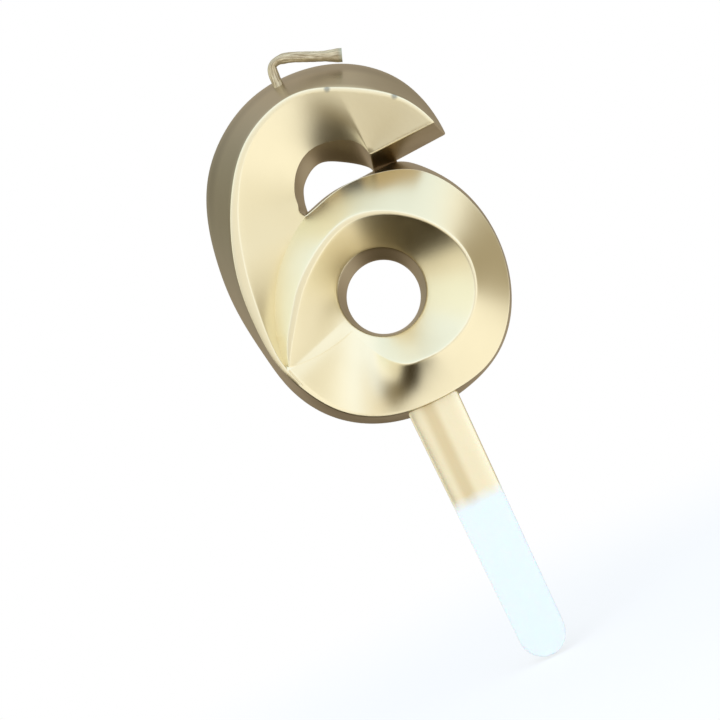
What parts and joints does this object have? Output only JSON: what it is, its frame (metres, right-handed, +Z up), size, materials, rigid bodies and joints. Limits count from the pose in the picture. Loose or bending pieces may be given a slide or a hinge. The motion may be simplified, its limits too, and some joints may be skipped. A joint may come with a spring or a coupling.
{
  "type": "numeral birthday candle",
  "caption": "Numeral six birthday candle: faceted gold wax figure with a folding cotton wick, on a flat plastic cake stick.",
  "frame": {"origin": "centre of the stick's flat back face, just below where the stick leaves the wax", "axes": "+Z up along the stick towards the wick, +Y out of the candle's flat back, +X to the right of the numeral as it is read"},
  "size_m": [0.0528, 0.015, 0.1277],
  "materials": {
    "gold_lacquered_wax": "satin metallic gold lacquer over cast wax, slightly wavy",
    "milky_plastic": "milky translucent moulded plastic, its upper part gold over-spray",
    "gold_lacquered_cotton": "braided cotton stiffened with gold lacquer"
  },
  "bodies": {
    "candle": {"numeral_six_wax": "gold_lacquered_wax", "plastic_stick": "milky_plastic", "wick_in_wax": "gold_lacquered_cotton"},
    "wick_leg": {"wick_leg": "gold_lacquered_cotton"},
    "wick_free_end": {"wick_free_end": "gold_lacquered_cotton"}
  },
  "joints": [
    {"name": "wick_lean", "type": "hinge", "parent": "candle", "child": "wick_leg", "pos_m": [-0.0006, 0.0024, 0.0715], "axis": [0, -1, 0], "range_deg": [-4, 35]},
    {"name": "wick_fold", "type": "hinge", "parent": "wick_leg", "child": "wick_free_end", "pos_m": [0.0004, 0.0024, 0.07455], "axis": [0, -1, 0], "range_deg": [0, 110]}
  ]
}
